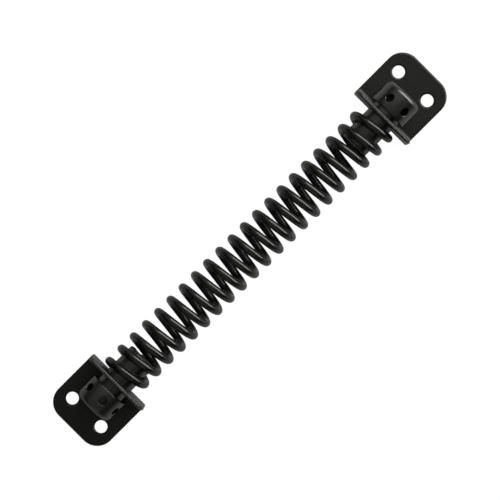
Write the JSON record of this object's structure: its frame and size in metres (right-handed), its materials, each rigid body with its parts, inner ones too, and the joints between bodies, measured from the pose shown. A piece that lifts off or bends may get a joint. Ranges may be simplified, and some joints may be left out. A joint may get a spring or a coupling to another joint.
{
  "type": "gate spring closer",
  "caption": "Torsion gate closer: an open coil spring on slotted spindles that turn in folded screw-on brackets, with drilled collars for winding it with a bar.",
  "frame": {"origin": "on the mounting face, midway between the two brackets and under the spring's axis", "axes": "+X along the spring towards the gate end, +Y across the plates, +Z out from the mounting face"},
  "size_m": [0.2174, 0.0318, 0.0224],
  "materials": {
    "bracket_paint": "satin black powder coat on folded sheet steel",
    "spindle_paint": "satin black paint on turned steel",
    "collar_paint": "satin black paint on turned steel",
    "spring_paint": "gloss black paint on drawn spring wire"
  },
  "bodies": {
    "post_bracket": {"post_bracket": "bracket_paint"},
    "post_spindle": {"post_spindle": "spindle_paint", "post_collar": "collar_paint", "spring": "spring_paint"},
    "gate_spindle": {"gate_spindle": "spindle_paint", "gate_collar": "collar_paint"},
    "gate_bracket": {"gate_bracket": "bracket_paint"}
  },
  "joints": [
    {"name": "post_swivel", "type": "hinge", "parent": "post_bracket", "child": "post_spindle", "pos_m": [-0.07962, 0, 0.012], "axis": [1, 0, 0], "continuous": true},
    {"name": "spring_wind", "type": "hinge", "parent": "post_spindle", "child": "gate_spindle", "pos_m": [-0.00068, 0, 0.012], "axis": [1, 0, 0], "range_deg": [0, 170], "stiffness_Nm_per_rad": 1.4, "deforming": ["spring"]},
    {"name": "gate_swivel", "type": "hinge", "parent": "gate_spindle", "child": "gate_bracket", "pos_m": [0.07962, 0, 0.012], "axis": [1, 0, 0], "continuous": true}
  ]
}
